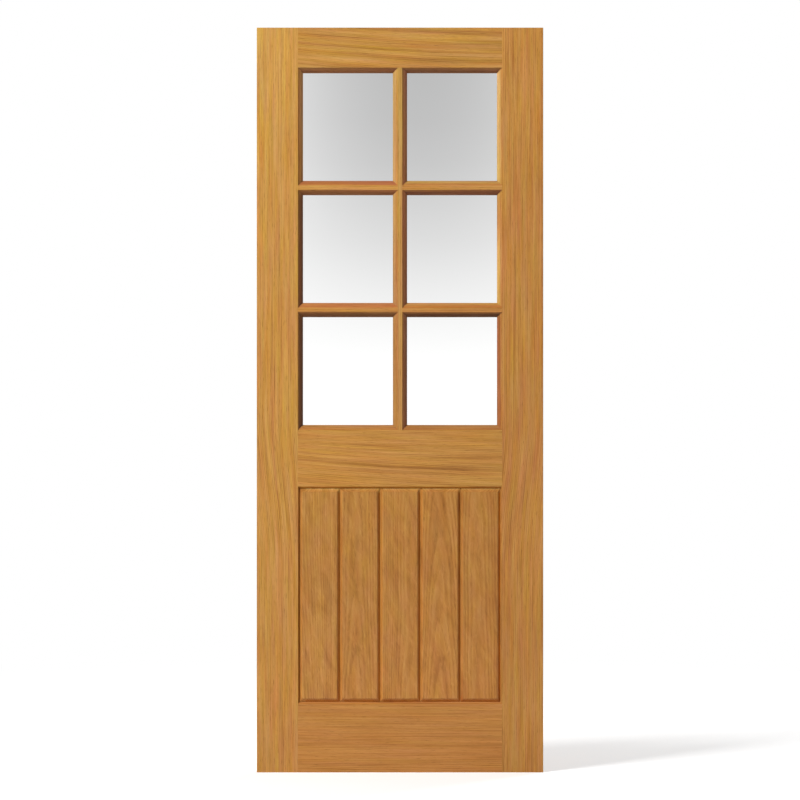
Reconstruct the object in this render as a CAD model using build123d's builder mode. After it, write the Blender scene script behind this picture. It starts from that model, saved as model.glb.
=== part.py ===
from build123d import *
import os

# An oak interior door leaf: six panes over five upright boards, both faces alike.
# Frame: X runs across the leaf from its hanging edge, Y from its front face to its back face,
# and Z up. The origin is on the hanging edge, halfway through the thickness, at the bottom.

# The leaf
leaf_width = 762.0
leaf_height = 1981.0
leaf_thickness = 35.0
edge_arris = 1.0

# The frame members, each measured to the roots of its arrises
stile_width = 114.0
top_rail_depth = 111.0
bottom_rail_depth = 187.0
panel_height = 569.0
middle_rail_depth = 159.5
bar_width = 21.0
tenon_length = 45.0
tenon_thickness = 11.0
tenon_shoulder = 22.0
bar_tenon_length = 12.0
bar_tenon_thickness = 9.0
bar_tenon_shoulder = 1.0

# The panes and what holds them
row_names = ["lower", "middle", "upper"]
column_names = ["left", "right"]
glass_thickness = 4.0
glass_clearance = 2.0
glass_bedding = 0.2
moulding_width = 13.0
moulding_step = 2.5
moulding_fall = 11.5
moulding_bulge = 1.6

# The boards and the arris of the frame around them
board_count = 5
arris_width = 4.5
side_bevel_width = 7.5
end_bevel_width = 10.0
bevel_depth = 6.5
tongue_length = 8.0
tongue_thickness = 7.0
joint_end_clearance = 1.0
joint_side_clearance = 0.1

# Worked out from the sizes above
half = leaf_thickness / 2
stile_flat = stile_width - arris_width
bar_flat = bar_width - 2 * arris_width
frame_width = leaf_width - 2 * stile_flat
frame_right = leaf_width - stile_flat
panel_bottom = bottom_rail_depth
panel_top = panel_bottom + panel_height
panel_flat_height = panel_height + 2 * arris_width
bottom_rail_flat = bottom_rail_depth - arris_width
middle_rail_low = panel_top + arris_width
middle_rail_high = panel_top + middle_rail_depth - arris_width
top_rail_low = leaf_height - top_rail_depth + arris_width
rows = len(row_names)
columns = len(column_names)
rebate_width = (frame_width - (columns - 1) * bar_flat) / columns
rebate_height = (top_rail_low - middle_rail_high - (rows - 1) * bar_flat) / rows
bar_left = stile_flat + rebate_width
bar_right = bar_left + bar_flat
bar_tenon_meeting = (bar_flat - joint_end_clearance) / 2
bedding_face = glass_thickness / 2 + glass_bedding
groove_depth = tongue_length + joint_end_clearance
groove_width = tongue_thickness + 2 * joint_side_clearance
board_width = (leaf_width - 2 * stile_width) / board_count

# Where each rail's flat starts and ends, from the bottom of the leaf
rail_spans = {
    "bottom": (0, bottom_rail_flat),
    "middle": (middle_rail_low, middle_rail_high),
    "top": (top_rail_low, leaf_height),
}

# The turn about Y that takes a strip along the top of an opening to each of its sides
side_turn = {"top": 0, "left": -90, "bottom": 180, "right": 90}

os.makedirs("parts", exist_ok=True)


def pane_centre(column, row):
    """The middle of a pane, counted from the hanging edge and from the bottom."""
    x = stile_flat + rebate_width / 2 + column * (rebate_width + bar_flat)
    z = middle_rail_high + rebate_height / 2 + row * (rebate_height + bar_flat)
    return x, z


def side_place(centre, width, height, side):
    """Where a strip made along the top of an opening goes for one side of it."""
    reach = {"top": (0, 1), "left": (-1, 0), "bottom": (0, -1), "right": (1, 0)}[side]
    x = centre[0] + reach[0] * width / 2
    z = centre[1] + reach[1] * height / 2
    return Location((x, 0, z), (0, side_turn[side], 0))


def side_run(width, height, side):
    """The length of an opening's side."""
    return width if side in ("top", "bottom") else height


def mitred(strip_section, run, depth):
    """A strip along X with the given section, its outer edge on Z = 0 and its ends mitred."""
    with BuildPart() as strip:
        with BuildSketch(Plane.YZ.offset(-run / 2)):
            add(strip_section)
        extrude(amount=run)
        with BuildSketch(Plane.XZ.offset(-half)):
            with BuildLine():
                Polyline(
                    (-run / 2, 0),
                    (-run / 2 + depth, -depth),
                    (run / 2 - depth, -depth),
                    (run / 2, 0),
                    close=True,
                )
            make_face()
        extrude(amount=leaf_thickness, mode=Mode.INTERSECT)
    return strip.part


def moulding_section():
    """The moulding in front of the glass: a small step below the face, then a swelling fall."""
    start = (-half + moulding_step, 0)
    nose = (-half + moulding_step + moulding_fall, -moulding_width)
    with BuildSketch() as section:
        with BuildLine():
            SagittaArc(nose, start, moulding_bulge)
            Polyline(start, (-bedding_face, 0), (-bedding_face, -moulding_width), nose)
        make_face()
    return section.sketch


def arris_section():
    """The frame's edge beside the boards, bevelled towards both faces."""
    shoulder = half - bevel_depth
    with BuildSketch() as section:
        with BuildLine():
            Polyline(
                (-half, 0),
                (-shoulder, -arris_width),
                (shoulder, -arris_width),
                (half, 0),
                close=True,
            )
        make_face()
    return section.sketch


def moulding(column, row, side):
    """The moulding along one side of a pane, in its place."""
    run = side_run(rebate_width, rebate_height, side)
    place = side_place(pane_centre(column, row), rebate_width, rebate_height, side)
    return place * mitred(moulding_section(), run, moulding_width)


def panel_arris(side):
    """The bevelled edge along one side of the boarded opening, in its place."""
    centre = (leaf_width / 2, panel_bottom + panel_height / 2)
    run = side_run(frame_width, panel_flat_height, side)
    place = side_place(centre, frame_width, panel_flat_height, side)
    return place * mitred(arris_section(), run, arris_width)


def bar_low(row):
    """The underside of the flat of the cross bars above a row of panes."""
    return pane_centre(0, row)[1] + rebate_height / 2


def block(x_low, x_high, z_low, z_high, thickness=leaf_thickness):
    """A squared piece of timber, in the middle of the leaf's thickness."""
    with BuildPart() as timber:
        with BuildSketch(Plane.XZ.offset(-thickness / 2)):
            with Locations(((x_low + x_high) / 2, (z_low + z_high) / 2)):
                Rectangle(x_high - x_low, z_high - z_low)
        extrude(amount=thickness)
    return timber.part


def rail_tenon(z_low, z_high, clearance=0.0):
    """A rail's tenon into the hanging stile, or with a clearance the mortice that takes it."""
    x_low = stile_flat - tenon_length - (joint_end_clearance if clearance else 0)
    inset = tenon_shoulder - clearance
    thickness = tenon_thickness + 2 * clearance
    return block(x_low, stile_flat, z_low + inset, z_high - inset, thickness)


def cross_tenon(x_low, x_high, row, clearance=0.0):
    """The tenons of a cross bar from end to end, or with a clearance a mortice for one."""
    inset = bar_tenon_shoulder - clearance
    thickness = bar_tenon_thickness + 2 * clearance
    return block(x_low, x_high, bar_low(row) + inset, bar_low(row) + bar_flat - inset, thickness)


def upright_tenon(z_low, z_high, clearance=0.0):
    """The tenons of the upright bar from end to end, or with a clearance a mortice for one."""
    inset = bar_tenon_shoulder - clearance
    thickness = bar_tenon_thickness + 2 * clearance
    return block(bar_left + inset, bar_right - inset, z_low, z_high, thickness)


def rail(z_low, z_high):
    """A rail between the stiles, with a tenon at each end."""
    with BuildPart() as timber:
        add(block(stile_flat, frame_right, z_low, z_high))
        add(rail_tenon(z_low, z_high))
        mirror(rail_tenon(z_low, z_high), about=Plane.YZ.offset(leaf_width / 2))
    return timber.part


# Stiles: full height, morticed for the rails and cross bars and grooved for the boards, with a
# fine arris on the outer edges
with BuildPart() as hanging_stile:
    add(block(0, stile_flat, 0, leaf_height))
    outer_edges = hanging_stile.faces().sort_by(Axis.X)[0].edges().filter_by(Axis.Z)
    chamfer(outer_edges, length=edge_arris)
    for row in range(rows):
        add(moulding(0, row, "left"))
    add(panel_arris("left"))
    with BuildSketch(Plane.XY.offset(panel_bottom - groove_depth)):
        with Locations((stile_width - groove_depth / 2, 0)):
            Rectangle(groove_depth, groove_width)
    extrude(amount=panel_height + 2 * groove_depth, mode=Mode.SUBTRACT)
    for z_low, z_high in rail_spans.values():
        add(rail_tenon(z_low, z_high, joint_side_clearance), mode=Mode.SUBTRACT)
    mortice_bottom = stile_flat - bar_tenon_length - joint_end_clearance
    for row in range(rows - 1):
        mortice = cross_tenon(mortice_bottom, stile_flat, row, joint_side_clearance)
        add(mortice, mode=Mode.SUBTRACT)
hanging_stile.part.label = "hanging_stile"
export_step(hanging_stile.part, "parts/hanging_stile.step")

with BuildPart() as lock_stile:
    mirror(hanging_stile.part, about=Plane.YZ.offset(leaf_width / 2))
lock_stile.part.label = "lock_stile"
export_step(lock_stile.part, "parts/lock_stile.step")

# Rails: tenoned into the stiles, with mortices for the upright bar
with BuildPart() as top_rail:
    add(rail(*rail_spans["top"]))
    for column in range(columns):
        add(moulding(column, rows - 1, "top"))
    mortice_top = top_rail_low + bar_tenon_length + joint_end_clearance
    add(upright_tenon(top_rail_low, mortice_top, joint_side_clearance), mode=Mode.SUBTRACT)
top_rail.part.label = "top_rail"
export_step(top_rail.part, "parts/top_rail.step")

with BuildPart() as middle_rail:
    add(rail(*rail_spans["middle"]))
    for column in range(columns):
        add(moulding(column, 0, "bottom"))
    mortice_bottom = middle_rail_high - bar_tenon_length - joint_end_clearance
    add(upright_tenon(mortice_bottom, middle_rail_high, joint_side_clearance), mode=Mode.SUBTRACT)
    add(panel_arris("top"))
    with BuildSketch(Plane.YZ.offset(stile_flat)):
        with Locations((0, panel_top + groove_depth / 2)):
            Rectangle(groove_width, groove_depth)
    extrude(amount=frame_width, mode=Mode.SUBTRACT)
middle_rail.part.label = "middle_rail"
export_step(middle_rail.part, "parts/middle_rail.step")

with BuildPart() as bottom_rail:
    add(rail(*rail_spans["bottom"]))
    add(panel_arris("bottom"))
    with BuildSketch(Plane.YZ.offset(stile_flat)):
        with Locations((0, panel_bottom - groove_depth / 2)):
            Rectangle(groove_width, groove_depth)
    extrude(amount=frame_width, mode=Mode.SUBTRACT)
bottom_rail.part.label = "bottom_rail"
export_step(bottom_rail.part, "parts/bottom_rail.step")

# Glazing bars: one upright bar in one length, and short cross bars on both sides of it, whose
# tenons all but meet inside it
with BuildPart() as upright_bar:
    add(block(bar_left, bar_right, middle_rail_high, top_rail_low))
    add(upright_tenon(middle_rail_high - bar_tenon_length, top_rail_low + bar_tenon_length))
    for row in range(rows):
        add(moulding(0, row, "right"))
        add(moulding(1, row, "left"))
    for row in range(rows - 1):
        add(cross_tenon(bar_left, bar_right, row, joint_side_clearance), mode=Mode.SUBTRACT)
upright_bar.part.label = "upright_bar"
export_step(upright_bar.part, "parts/upright_bar.step")

for row in range(rows - 1):
    for column in range(columns):
        x_mid = pane_centre(column, row)[0]
        x_low = x_mid - rebate_width / 2
        x_high = x_mid + rebate_width / 2
        left_tenon = bar_tenon_meeting if column else bar_tenon_length
        right_tenon = bar_tenon_length if column else bar_tenon_meeting
        with BuildPart() as cross_bar:
            add(block(x_low, x_high, bar_low(row), bar_low(row) + bar_flat))
            add(cross_tenon(x_low - left_tenon, x_high + right_tenon, row))
            add(moulding(column, row, "top"))
            add(moulding(column, row + 1, "bottom"))
        name = f"cross_bar_{['lower', 'upper'][row]}_{column_names[column]}"
        cross_bar.part.label = name
        export_step(cross_bar.part, f"parts/{name}.step")

# Panes: plain flat sheets, with the loose beads that hold them in from the back
for row in range(rows):
    for column in range(columns):
        x, z = pane_centre(column, row)
        place_name = f"{row_names[row]}_{column_names[column]}"
        with BuildPart() as pane:
            with BuildSketch(Plane.XZ.offset(-glass_thickness / 2)):
                with Locations((x, z)):
                    Rectangle(rebate_width - 2 * glass_clearance, rebate_height - 2 * glass_clearance)
            extrude(amount=glass_thickness)
        pane.part.label = f"pane_{place_name}"
        export_step(pane.part, f"parts/pane_{place_name}.step")

        for side in side_turn:
            with BuildPart() as bead:
                mirror(moulding(column, row, side), about=Plane.XZ)
            bead.part.label = f"bead_{place_name}_{side}"
            export_step(bead.part, f"parts/bead_{place_name}_{side}.step")

# Boards: bevelled on all edges of both faces, tongued together and into the frame
for number in range(board_count):
    x_low = stile_width + number * board_width
    x_mid = x_low + board_width / 2
    z_mid = panel_bottom + panel_height / 2
    tongue_sides = [1] if number else [-1, 1]
    with BuildPart() as board:
        for facing in (-1, 1):
            face_plane = Plane((x_mid, 0, z_mid), x_dir=(1, 0, 0), z_dir=(0, facing, 0))
            with BuildSketch(face_plane):
                Rectangle(board_width, panel_height)
            extrude(amount=half - bevel_depth)
            with BuildSketch(face_plane.offset(half - bevel_depth)):
                Rectangle(board_width, panel_height)
            with BuildSketch(face_plane.offset(half)):
                Rectangle(board_width - 2 * side_bevel_width, panel_height - 2 * end_bevel_width)
            loft()
        with BuildSketch(Plane.YZ.offset(x_low)):
            with Locations((0, z_mid)):
                Rectangle(tongue_thickness, panel_height + 2 * tongue_length)
        extrude(amount=board_width)
        for side in tongue_sides:
            with BuildSketch(Plane.XY.offset(panel_bottom - tongue_length)):
                with Locations((x_mid + side * (board_width + tongue_length) / 2, 0)):
                    Rectangle(tongue_length, tongue_thickness)
            extrude(amount=panel_height + 2 * tongue_length)
        if number:
            with BuildSketch(Plane.XY.offset(panel_bottom - tongue_length)):
                with Locations((x_low + groove_depth / 2, 0)):
                    Rectangle(groove_depth, groove_width)
            extrude(amount=panel_height + 2 * tongue_length, mode=Mode.SUBTRACT)
    board.part.label = f"board_{number + 1}"
    export_step(board.part, f"parts/board_{number + 1}.step")
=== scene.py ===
import math

import bpy
from bpy.props import FloatProperty, FloatVectorProperty, PointerProperty
from bpy.types import Operator, Panel, PropertyGroup
from mathutils import Matrix, Vector


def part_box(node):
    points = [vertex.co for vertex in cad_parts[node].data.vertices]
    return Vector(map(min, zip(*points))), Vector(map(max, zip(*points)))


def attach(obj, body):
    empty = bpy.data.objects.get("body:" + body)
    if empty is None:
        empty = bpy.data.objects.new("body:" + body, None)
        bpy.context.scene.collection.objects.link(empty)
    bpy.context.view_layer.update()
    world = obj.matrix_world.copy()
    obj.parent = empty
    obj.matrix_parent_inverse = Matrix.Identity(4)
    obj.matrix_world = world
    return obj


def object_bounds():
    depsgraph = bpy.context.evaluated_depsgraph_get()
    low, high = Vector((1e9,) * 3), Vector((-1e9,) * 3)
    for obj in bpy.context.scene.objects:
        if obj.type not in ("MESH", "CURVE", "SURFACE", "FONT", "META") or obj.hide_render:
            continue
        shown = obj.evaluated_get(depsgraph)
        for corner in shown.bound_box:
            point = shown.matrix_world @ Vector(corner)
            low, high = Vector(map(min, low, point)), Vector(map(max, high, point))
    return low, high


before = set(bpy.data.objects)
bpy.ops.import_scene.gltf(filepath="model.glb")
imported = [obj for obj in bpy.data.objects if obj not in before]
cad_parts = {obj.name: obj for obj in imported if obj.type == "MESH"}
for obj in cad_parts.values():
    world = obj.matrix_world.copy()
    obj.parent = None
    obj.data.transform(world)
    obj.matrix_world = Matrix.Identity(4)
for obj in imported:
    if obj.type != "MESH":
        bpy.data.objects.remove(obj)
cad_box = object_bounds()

bl_info = {
    "name": "Glazed Oak Door",
    "version": (1, 0, 0),
    "blender": (4, 5, 0),
    "location": "View3D > Sidebar > Door",
    "description": "Finishes an oak interior door leaf with panes over a boarded panel",
    "category": "Object",
}

PANES = ("lower_left", "lower_right", "middle_left", "middle_right", "upper_left", "upper_right")
SIDES = ("top", "bottom", "left", "right")

# The leaf's own measures, read from the frame
LEAF_LOW, LEAF_HIGH = (Vector(corner) for corner in cad_box)
LEAF_MIDDLE = (LEAF_LOW + LEAF_HIGH) / 2
LEAF_THICKNESS, LEAF_HEIGHT = (LEAF_HIGH - LEAF_LOW).yz

# The rounded face of a glazing bead: its middle, as a share of the bead's width in from the
# rebate and of its depth from the glass, and how much it looks backwards and inwards there
FACE_ACROSS = 0.582
FACE_BACK = 0.644
FACE_LEAN = (0.749, 0.6625)

# A tint that changes nothing
PLAIN = (1.0, 1.0, 1.0)

# What the oak's grain is given, with its values where a piece doesn't say. Slope, Bow, Fan and
# Swerve lay the grain, Heart is where the tree's middle was, and the rest is how strong, wide
# or long each part of the figure is, and which board it comes from.
GRAIN_INPUTS = {
    "Slope": 0.0,
    "Bow": 0.0,
    "Fan": 0.0,
    "Swerve": 0.0,
    "Swerve From": 0.0,
    "Swerve To": 0.1,
    "Heart Across": 0.0,
    "Heart Depth": 0.1,
    "Heart Tilt": 0.0,
    "Wander": 0.012,
    "Ring Spacing": 0.004,
    "Bands": 1.0,
    "Lines": 1.0,
    "Lines Along": 4.5,
    "Mottle": 0.0,
    "Flecks": 0.0,
    "Cast": 1.0,
    "Cast Across": 85.0,
    "Cast Along": 5.0,
    "Seed": 0.0,
    "End": 0.0,
}
SEED_STEPS = (3.71, 5.33, 7.97)

# What one streak is given: its place across the grain and along it, its width and length, and
# how much darker it is
VEIN_INPUTS = ("Across", "Centre", "Width", "Length", "Strength")

# The straight grain of the thin pieces
THIN_GRAIN = {"Heart Across": 0.2, "Heart Depth": 0.2, "Bands": 0.6}

# Where in a year's ring its early wood comes and goes
EARLY_COMES = (0.0, 0.12)
EARLY_GOES = (0.75, 0.25)

# The parts of the figure: how many cells of noise a metre holds across the grain and along it,
# how far a part swings, and from where to where its noise counts
WANDER_CELLS = (7.0, 1.6)
RIPPLE_CELLS = (60.0, 7.0)
RIPPLE = 0.0016
YEAR_CELLS = 75.0
YEAR_SWING = 1.1
FADE_CELLS = (16.0, 2.2)
FADE_FROM = (0.3, 0.7)
FADE_TO = (0.4, 1.25)
STREAK_CELLS = 150.0
STREAK_SWING = 0.85
FIBRE_CELLS = (620.0, 14.0)
FIBRE_SWING = 0.34
MOTTLE_CELLS = (52.0, 13.0)
MOTTLE_LEAN = 0.18
FLECK_CELLS = (200.0, 60.0)
FLECK_FROM = (0.58, 0.74)
PORE_CELLS = (1500.0, 48.0)
PORE_FROM = (0.58, 0.70)
PORES_ELSEWHERE = 0.25
PIT_CELLS = (1300.0, 900.0)
PIT_FROM = (0.50, 0.60)

# How dark the line of each growth ring is, and how much darker on end grain
RING_DEPTH = 0.14
RING_DEEPER_AT_END = 0.30

# End grain: how squarely it is cut, and how much of the streaks it loses
END_GRAIN_FROM = (0.8, 0.95)
END_FADE = 0.85

# The tones of the dark, the middle and the light oak, and the tone that the figure swings about
TONE_STEPS = (0.05, 0.46, 0.90)
MIDDLE_TONE = 0.5

# What pores and fibre do to the surface
PORE_SHADE = 0.62
PORES_ROUGHER = 0.25
PALE_SMOOTHER = 0.06
FIBRE_RELIEF = 0.35

# Where below the face the painted shade along a moulding's step comes and goes
QUIRK_SHADE_COMES = (0.0, 0.0015)
QUIRK_SHADE_GOES = (0.007, 0.003)

# The width of the bevel along each side of a board
SIDE_BEVEL = 0.0075

# The filler over the beads' pins: its sides, the rounding of its rim as a share of its radius,
# how straight up its top looks, its widest smooth edge, and the grit and pits of its paste
FILLING_SIDES = 16
FILLING_ROUND = 0.35
FILLING_TOP = 0.9
FILLING_SMOOTH = math.radians(40)
FILLER_GRIT = 2600.0
FILLER_GRIT_FROM = (0.3, 0.7)
FILLER_PALER = 1.6
FILLER_PITS = 0.00008
FILLER_ROUGHNESS = (0.7, 0.85)

# How the photo frames the leaf: its height and the whole picture's, in pixels
LEAF_PIXELS = 744.8
PICTURE_PIXELS = 800.0

# What stands behind the panes: shade that deepens upwards, by the height of the way through the
# glass times a scale, and is deepest a little right of the middle
SHADE_SCALE = 8.0
SHADE_STEPS = (
    (0.04, 0.0),
    (0.12, 0.042),
    (0.20, 0.108),
    (0.30, 0.194),
    (0.42, 0.310),
    (0.63, 0.464),
    (0.74, 0.510),
    (0.86, 0.532),
)
SHADE_MIDDLE = 0.006
SHADE_FALL = 230.0
SHADE_LEAST = 0.60
SHADE_NONE = (1.06, 1.06, 1.06)
SHADE_FULL = (0.0, 0.0, 0.005)

# Looking down through a pane, the white room is a little grey and green
DOWN_FROM = (-0.02, -0.08)
DOWN_COLOUR = (0.895, 0.912, 0.902)

# The floor's own grey, how brightly it glows by itself, seen straight and seen through a pane,
# and from where to where it fades into the room
FLOOR_GREY = 0.82
FLOOR_GLOW = 0.30
FLOOR_GLOW_THROUGH = 0.04
FLOOR_FADE = (1.2, 3.4)

# Which way each lamp lies from the leaf's middle
KEY_WAY = Vector((-0.60, -0.53, 0.58))
BACK_WAY = Vector((0.45, 0.70, 0.50))


class OakFinish(PropertyGroup):
    """The oiled oak of the frame, bars, beads and boards."""

    light: FloatVectorProperty(
        name="Light Oak",
        description="The palest wood between the growth rings",
        subtype="COLOR",
        size=3,
        min=0.0,
        max=1.0,
        default=(0.610, 0.309, 0.074),
    )
    middle: FloatVectorProperty(
        name="Oak",
        description="The wood's main colour",
        subtype="COLOR",
        size=3,
        min=0.0,
        max=1.0,
        default=(0.482, 0.218, 0.044),
    )
    dark: FloatVectorProperty(
        name="Dark Oak",
        description="The darkest streaks of the figure",
        subtype="COLOR",
        size=3,
        min=0.0,
        max=1.0,
        default=(0.300, 0.118, 0.021),
    )
    pore: FloatVectorProperty(
        name="Pores",
        description="The open pores, which hold the oil",
        subtype="COLOR",
        size=3,
        min=0.0,
        max=1.0,
        default=(0.150, 0.058, 0.010),
    )
    roughness: FloatProperty(
        name="Roughness",
        description="How dull the oiled surface is",
        subtype="FACTOR",
        min=0.05,
        max=1.0,
        default=0.46,
    )
    pore_depth: FloatProperty(
        name="Pore Depth",
        description="How deep the open pores are",
        subtype="DISTANCE",
        min=0.0,
        max=0.001,
        default=0.00012,
    )
    cast: FloatVectorProperty(
        name="Colour Swing",
        description="How far red, green and blue come and go along the wood",
        size=3,
        min=0.0,
        max=4.0,
        default=(0.17, 0.40, 1.20),
    )
    # Painted shade in the grooves, where little light reaches, together with the oil that gathers
    # there
    groove: FloatVectorProperty(
        name="Groove",
        description="What the oil that gathers in the grooves does to the wood's colour",
        subtype="COLOR",
        size=3,
        min=0.0,
        max=1.0,
        default=(0.77, 0.58, 0.19),
    )
    # Painted shade along the step of a moulding, a darker line where shade falls
    quirk: FloatVectorProperty(
        name="Quirk",
        description="What the oil line along the step of a moulding does to the wood's colour",
        subtype="COLOR",
        size=3,
        min=0.0,
        max=1.0,
        default=(1.0, 0.90, 0.80),
    )
    end_grain: FloatVectorProperty(
        name="End Grain",
        description="What the oil that end grain soaks up does to the wood's colour",
        subtype="COLOR",
        size=3,
        min=0.0,
        max=1.0,
        default=(0.80, 0.70, 0.60),
    )
    # How far below the face the painted light and shade of a moulding or groove reaches its full
    # tint
    painted_shading_depth: FloatProperty(
        name="Strip Depth",
        description="How far below the face a moulding or groove has its full tint",
        subtype="DISTANCE",
        min=0.001,
        max=0.017,
        default=0.006,
    )
    arris: FloatProperty(
        name="Eased Edge",
        description="The rounding that sanding leaves on every edge",
        subtype="DISTANCE",
        min=0.0,
        max=0.003,
        default=0.0007,
    )


class GlassFinish(PropertyGroup):
    """The flat clear panes."""

    tint: FloatVectorProperty(
        name="Glass",
        description="The slight tint that the sheet gives to what is behind it",
        subtype="COLOR",
        size=3,
        min=0.0,
        max=1.0,
        default=(0.988, 0.990, 0.987),
    )
    index: FloatProperty(
        name="Refraction",
        description="The glass's index of refraction",
        min=1.0,
        max=2.0,
        default=1.5,
    )


class PinFillings(PropertyGroup):
    """The filler over the pins that hold the glazing beads."""

    radius: FloatProperty(
        name="Filling Radius",
        description="Radius of the filler over each pin",
        subtype="DISTANCE",
        min=0.0005,
        max=0.003,
        default=0.0011,
    )
    proud: FloatProperty(
        name="Filling Height",
        description="How far the filler stands out of the bead",
        subtype="DISTANCE",
        min=0.0,
        max=0.001,
        default=0.00015,
    )
    depth: FloatProperty(
        name="Filling Depth",
        description="How far the filler reaches into the bead",
        subtype="DISTANCE",
        min=0.0002,
        max=0.004,
        default=0.0012,
    )
    from_end: FloatProperty(
        name="From the End",
        description="From the end of a bead to its first pin",
        subtype="DISTANCE",
        min=0.02,
        max=0.1,
        default=0.04,
    )
    colour: FloatVectorProperty(
        name="Filler",
        description="The filler, a little darker than the oak",
        subtype="COLOR",
        size=3,
        min=0.0,
        max=1.0,
        default=(0.260, 0.112, 0.028),
    )


class StageLook(PropertyGroup):
    """The floor, the lamps and the surroundings."""

    key_power: FloatProperty(
        name="Key Lamp",
        description="Power of the large soft lamp at the upper left",
        subtype="POWER",
        min=0.0,
        default=680.0,
    )
    back_power: FloatProperty(
        name="Back Lamp",
        description="Power of the lamp that lights the other face",
        subtype="POWER",
        min=0.0,
        default=420.0,
    )
    ambient: FloatProperty(
        name="Ambient",
        description="How bright the surroundings light the leaf from all sides",
        subtype="FACTOR",
        min=0.0,
        max=2.0,
        default=0.22,
    )
    lamp_distance: FloatProperty(
        name="Lamp Distance",
        description="From the leaf's middle to each lamp",
        subtype="DISTANCE",
        min=2.0,
        default=8.0,
    )
    key_size: FloatProperty(
        name="Key Size",
        description="Length of the key lamp's side",
        subtype="DISTANCE",
        min=0.1,
        default=2.4,
    )
    back_size: FloatProperty(
        name="Back Size",
        description="Length of the back lamp's side",
        subtype="DISTANCE",
        min=0.1,
        default=4.0,
    )
    floor_size: FloatProperty(
        name="Floor Size",
        description="Length of the square floor's side",
        subtype="DISTANCE",
        min=1.0,
        default=9.0,
    )
    camera_distance: FloatProperty(
        name="Camera Distance",
        description="From the camera to the leaf's front face",
        subtype="DISTANCE",
        min=2.0,
        default=8.0,
    )


def add_node(tree, kind, inputs=None, **settings):
    """Adds a node to a tree, with its settings, and links or sets its inputs."""
    node = tree.nodes.new(kind)
    for name, value in settings.items():
        setattr(node, name, value)
    for name, value in (inputs or {}).items():
        if isinstance(value, bpy.types.NodeSocket):
            tree.links.new(value, node.inputs[name])
        else:
            node.inputs[name].default_value = value
    return node


def math_node(tree, operation, first, second=0.0, third=0.0, clamp=False):
    """One sum, and the socket that holds its result."""
    inputs = {0: first, 1: second, 2: third}
    node = add_node(tree, "ShaderNodeMath", inputs, operation=operation, use_clamp=clamp)
    return node.outputs["Value"]


def total(tree, *sockets):
    """All the values added up."""
    result = sockets[0]
    for more in sockets[1:]:
        result = math_node(tree, "ADD", result, more)
    return result


def product(tree, first, second):
    """Two values multiplied."""
    return math_node(tree, "MULTIPLY", first, second)


def joined(tree, x, y, z):
    """Three values made one vector."""
    return add_node(tree, "ShaderNodeCombineXYZ", {"X": x, "Y": y, "Z": z}).outputs["Vector"]


def parted(tree, vector):
    """A vector's three values, by their letters."""
    return add_node(tree, "ShaderNodeSeparateXYZ", {"Vector": vector}).outputs


def vector_node(tree, operation, *vectors):
    """One sum of vectors, and the socket that holds its result."""
    inputs = dict(enumerate(vectors))
    node = add_node(tree, "ShaderNodeVectorMath", inputs, operation=operation)
    return node.outputs["Vector"]


def drawn_out(tree, vector, across, along, detail=2.0, roughness=0.5, distortion=0.0):
    """A noise texture drawn out along the grain: so many cells a metre across it and along it."""
    inputs = {
        "Vector": vector_node(tree, "MULTIPLY", vector, joined(tree, across, across, along)),
        "Scale": 1.0,
        "Detail": detail,
        "Roughness": roughness,
        "Distortion": distortion,
    }
    return add_node(tree, "ShaderNodeTexNoise", inputs)


def stretched_noise(tree, vector, across, along, **kind):
    """The value of a drawn-out noise."""
    return drawn_out(tree, vector, across, along, **kind).outputs["Fac"]


def centred(tree, socket, amount):
    """A noise moved to swing both ways about nothing, times an amount."""
    return product(tree, math_node(tree, "SUBTRACT", socket, 0.5), amount)


def ranged(tree, socket, low, high, to_low=0.0, to_high=1.0):
    """A value taken from one range to another, and held inside it."""
    inputs = {
        "Value": socket,
        "From Min": low,
        "From Max": high,
        "To Min": to_low,
        "To Max": to_high,
    }
    node = add_node(tree, "ShaderNodeMapRange", inputs, interpolation_type="SMOOTHSTEP")
    return node.outputs["Result"]


def lie_of_grain(tree, given, place):
    """Where each fibre lies across the piece: sloping, fanning out, bowed and swerving aside."""
    along = place["Z"]
    fanned = math_node(tree, "MULTIPLY_ADD", place["X"], given["Fan"], given["Slope"])
    slope = product(tree, along, fanned)
    bow = product(tree, product(tree, along, along), given["Bow"])
    swerve = ranged(tree, along, given["Swerve From"], given["Swerve To"])
    return total(tree, place["X"], slope, bow, product(tree, swerve, given["Swerve"]))


def growth_rings(tree, given, place, across, ripple, wander):
    """The distance from the tree's heart, and how early in its ring's year the wood grew."""
    aside = math_node(tree, "SUBTRACT", across, given["Heart Across"])
    heart = math_node(tree, "MULTIPLY_ADD", place["Z"], given["Heart Tilt"], given["Heart Depth"])
    depth = math_node(tree, "SUBTRACT", place["Y"], heart)
    square = math_node(tree, "MULTIPLY_ADD", aside, aside, product(tree, depth, depth))
    radius = total(tree, math_node(tree, "SQRT", square), wander, ripple)
    phase = math_node(tree, "FRACT", math_node(tree, "DIVIDE", radius, given["Ring Spacing"]))
    early = product(tree, ranged(tree, phase, *EARLY_COMES), ranged(tree, phase, *EARLY_GOES))
    return radius, early


def dark_years(tree, given, sample, radius):
    """Bands round the heart, because some years grew darker than others."""
    inputs = {
        "W": total(tree, radius, given["Seed"]),
        "Scale": YEAR_CELLS,
        "Detail": 5.0,
        "Roughness": 0.66,
    }
    years = add_node(tree, "ShaderNodeTexNoise", inputs, noise_dimensions="1D").outputs["Fac"]
    fade = ranged(tree, stretched_noise(tree, sample, *FADE_CELLS), *FADE_FROM, *FADE_TO)
    swing = product(tree, centred(tree, years, YEAR_SWING), given["Bands"])
    return product(tree, swing, fade)


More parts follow.
